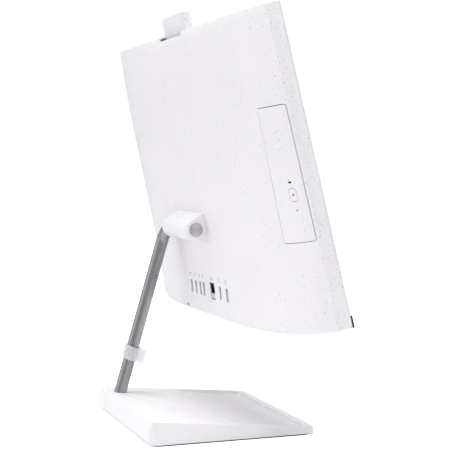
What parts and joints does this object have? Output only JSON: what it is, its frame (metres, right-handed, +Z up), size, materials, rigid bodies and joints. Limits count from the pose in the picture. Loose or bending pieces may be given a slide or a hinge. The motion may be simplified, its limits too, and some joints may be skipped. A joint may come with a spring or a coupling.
{
  "type": "all-in-one computer",
  "caption": "All-in-one PC with a wide display on a bent tube stand with a wedge base, pop-up camera, side disc drive and rear connectors.",
  "frame": {"origin": "centre of the underside of the base, on the surface it stands on", "axes": "+Z up, the screen faces -Y, +X to the right of someone who looks at the screen"},
  "size_m": [0.541, 0.196, 0.4784],
  "materials": {
    "speckled_white": "matte, speckled",
    "bezel_white": "matte",
    "grille_fabric": "woven",
    "screen_glass": "polished",
    "panel_black": "matte",
    "sheet_steel": "satin",
    "dark_steel": "oiled",
    "brass_fittings": "bright",
    "tube_metal": "satin",
    "circuit_board": "solder mask",
    "chip_black": "matte",
    "copper": "bare",
    "fin_aluminium": "bare",
    "black_plastic": "matte",
    "flap_grey": "matte",
    "light_guide": "clear",
    "lens_glass": "polished",
    "clear_plastic": "clear",
    "rubber": "matte"
  },
  "bodies": {
    "stand": {"base_shell": "speckled_white", "base_plate": "black_plastic", "rubber_pad": "rubber", "base_weight": "dark_steel", "base_screws": "dark_steel", "tube_foot": "dark_steel", "stand_tube": "tube_metal", "hinge_shaft": "dark_steel"},
    "display": {"back_cover": "speckled_white", "camera_rails": "black_plastic", "chassis_plate": "sheet_steel", "connector_board": "circuit_board", "connector_posts": "brass_fittings", "cooler_plate": "copper", "cooling_fins": "fin_aluminium", "display_panel": "panel_black", "fan_housing": "black_plastic", "friction_sleeves": "brass_fittings", "front_bezel": "bezel_white", "hdmi_port": "sheet_steel", "heat_pipe": "copper", "hinge_bracket": "sheet_steel", "hinge_bracket_screws": "dark_steel", "hinge_end_cap": "tube_metal", "hinge_housing": "speckled_white", "left_speaker": "black_plastic", "left_speaker_cone": "black_plastic", "lock_slot_plate": "sheet_steel", "mainboard": "circuit_board", "mainboard_screws": "dark_steel", "mainboard_standoffs": "brass_fittings", "memory_modules": "circuit_board", "memory_slots": "chip_black", "network_port": "chip_black", "optical_drive_case": "sheet_steel", "power_inlet": "chip_black", "power_switch": "chip_black", "processor": "chip_black", "right_speaker": "black_plastic", "right_speaker_cone": "black_plastic", "screen_glass": "screen_glass", "solid_state_drive": "circuit_board", "speaker_grille": "grille_fabric", "usb_ports": "sheet_steel", "wireless_card": "circuit_board"},
    "camera": {"camera_housing": "speckled_white", "camera_board": "circuit_board", "camera_lens": "lens_glass"},
    "disc_tray": {"disc_tray": "black_plastic", "disc_tray_front": "speckled_white", "drive_light": "light_guide"},
    "eject_button": {"eject_button": "speckled_white"},
    "disc_spindle": {"disc_spindle": "black_plastic"},
    "fan_rotor": {"fan_rotor": "black_plastic"},
    "power_button": {"power_button": "bezel_white"},
    "network_flap": {"network_flap": "flap_grey"},
    "cable_clip": {"cable_clip": "clear_plastic"}
  },
  "joints": [
    {"name": "display_tilt", "type": "hinge", "parent": "stand", "child": "display", "pos_m": [0, 0.01813, 0.22922], "axis": [1, 0, 0], "range_deg": [-6, 19]},
    {"name": "camera_rise", "type": "slide", "parent": "display", "child": "camera", "axis": [0, 0.2419, 0.9703], "range_m": [-0.0205, 0]},
    {"name": "tray_slide", "type": "slide", "parent": "display", "child": "disc_tray", "axis": [-1, 0, 0], "range_m": [0, 0.11]},
    {"name": "eject_press", "type": "slide", "parent": "disc_tray", "child": "eject_button", "axis": [1, 0, 0], "range_m": [0, 0.0008], "stiffness_N_per_m": 600},
    {"name": "spindle_turn", "type": "hinge", "parent": "disc_tray", "child": "disc_spindle", "pos_m": [-0.171, -0.01055, 0.29522], "axis": [0, 0.9703, -0.2419], "continuous": true},
    {"name": "fan_turn", "type": "hinge", "parent": "display", "child": "fan_rotor", "pos_m": [0.148, -0.04114, 0.18536], "axis": [0, 0.9703, -0.2419], "continuous": true},
    {"name": "power_press", "type": "slide", "parent": "display", "child": "power_button", "axis": [0, 0.2419, 0.9703], "range_m": [0, 0.0008], "stiffness_N_per_m": 600},
    {"name": "network_flap_turn", "type": "hinge", "parent": "display", "child": "network_flap", "pos_m": [-0.031, -0.00762, 0.14907], "axis": [1, 0, 0], "range_deg": [-60, 0], "stiffness_Nm_per_rad": 0.002},
    {"name": "clip_slide", "type": "slide", "parent": "stand", "child": "cable_clip", "axis": [0, -0.2812, 0.9596], "range_m": [-0.03, 0.12]}
  ]
}
